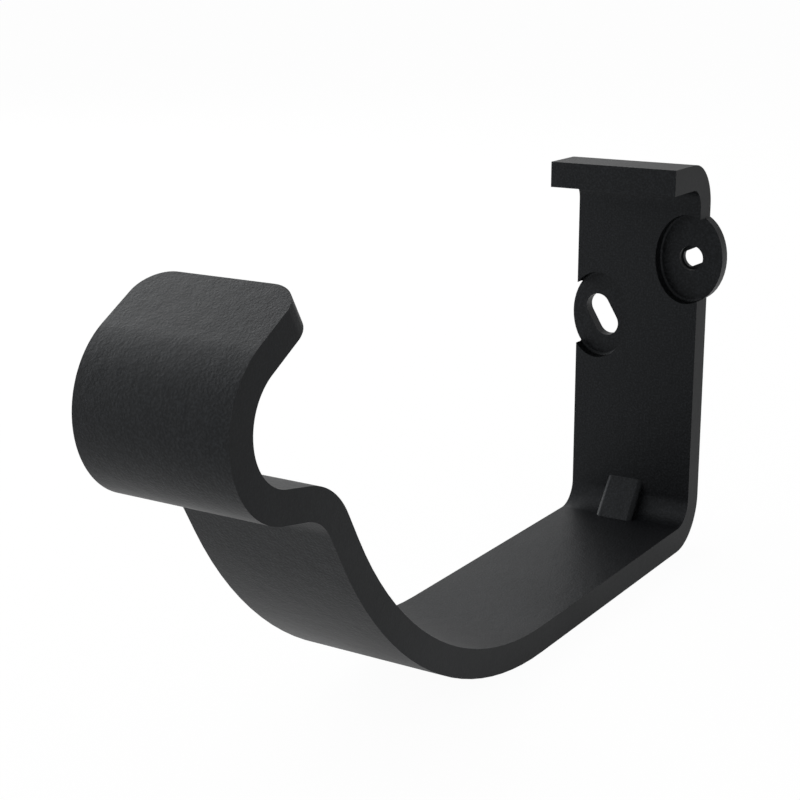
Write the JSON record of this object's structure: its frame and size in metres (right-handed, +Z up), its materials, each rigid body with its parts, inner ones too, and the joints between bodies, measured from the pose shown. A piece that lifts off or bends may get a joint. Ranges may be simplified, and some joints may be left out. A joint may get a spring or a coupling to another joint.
{
  "type": "gutter bracket",
  "caption": "Cast fascia bracket for an ogee roof gutter: a flat back with screw pads, a top tab, and a curved arm ending in a hooked front bulb.",
  "frame": {"origin": "on the back face that lies against the fascia board, midway across the strap, 40 mm above the underside", "axes": "+Y points out of the back face into the fascia, -Y is the front of the gutter, +Z is up, and X runs along the gutter"},
  "size_m": [0.0324, 0.1563, 0.0792],
  "materials": {
    "coating": "satin"
  },
  "bodies": {
    "root": {"bracket": "coating"}
  },
  "joints": []
}
